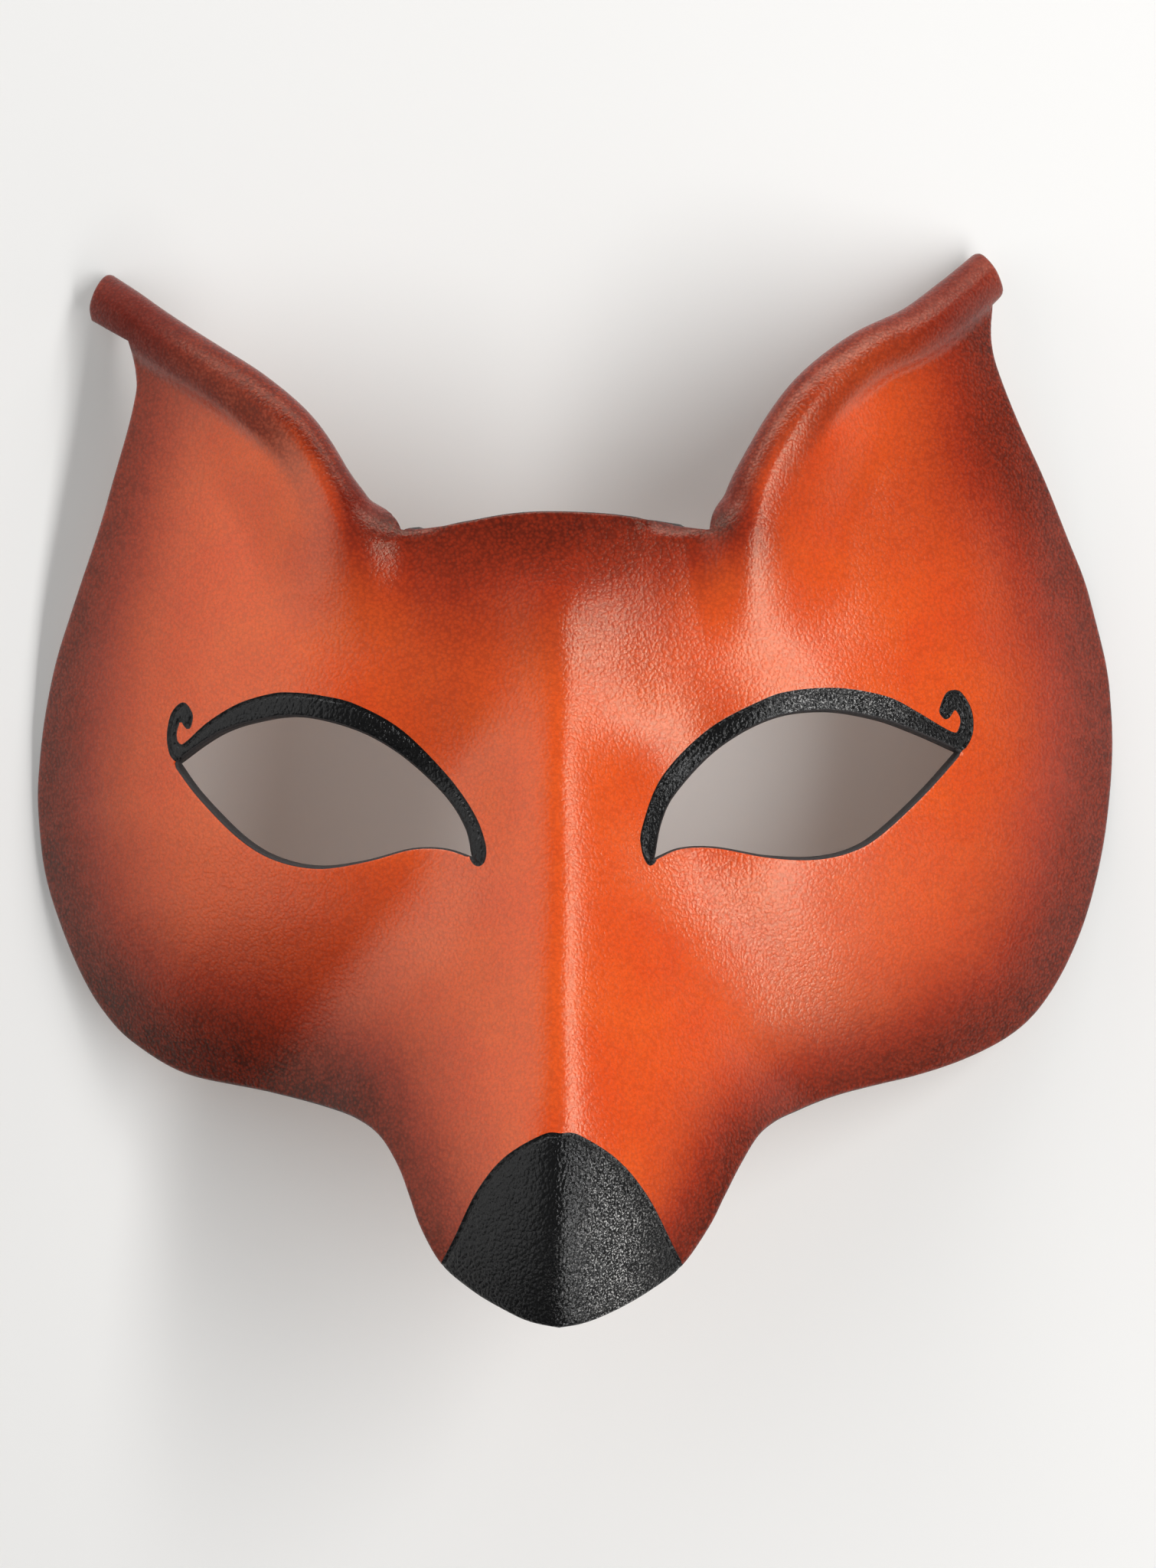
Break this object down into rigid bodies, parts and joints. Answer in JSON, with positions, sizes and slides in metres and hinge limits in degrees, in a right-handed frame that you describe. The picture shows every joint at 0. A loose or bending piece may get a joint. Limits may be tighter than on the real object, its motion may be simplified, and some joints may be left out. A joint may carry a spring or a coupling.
{
  "type": "fox half mask",
  "caption": "Half mask of a fox, wet-formed from a sheet of leather, with eye holes, a ridged snout and upright ears with rolled inner edges.",
  "frame": {"origin": "centre of the underside of the bounding box, on the plane that the mask lies on, face up", "axes": "+X to the right of the face as seen from the front, +Y towards the ear tips, +Z out of the face, straight up from the plane it lies on"},
  "size_m": [0.2136, 0.2068, 0.0806],
  "materials": {
    "leather": "satin"
  },
  "bodies": {
    "root": {"leather_mask": "leather"}
  },
  "joints": []
}
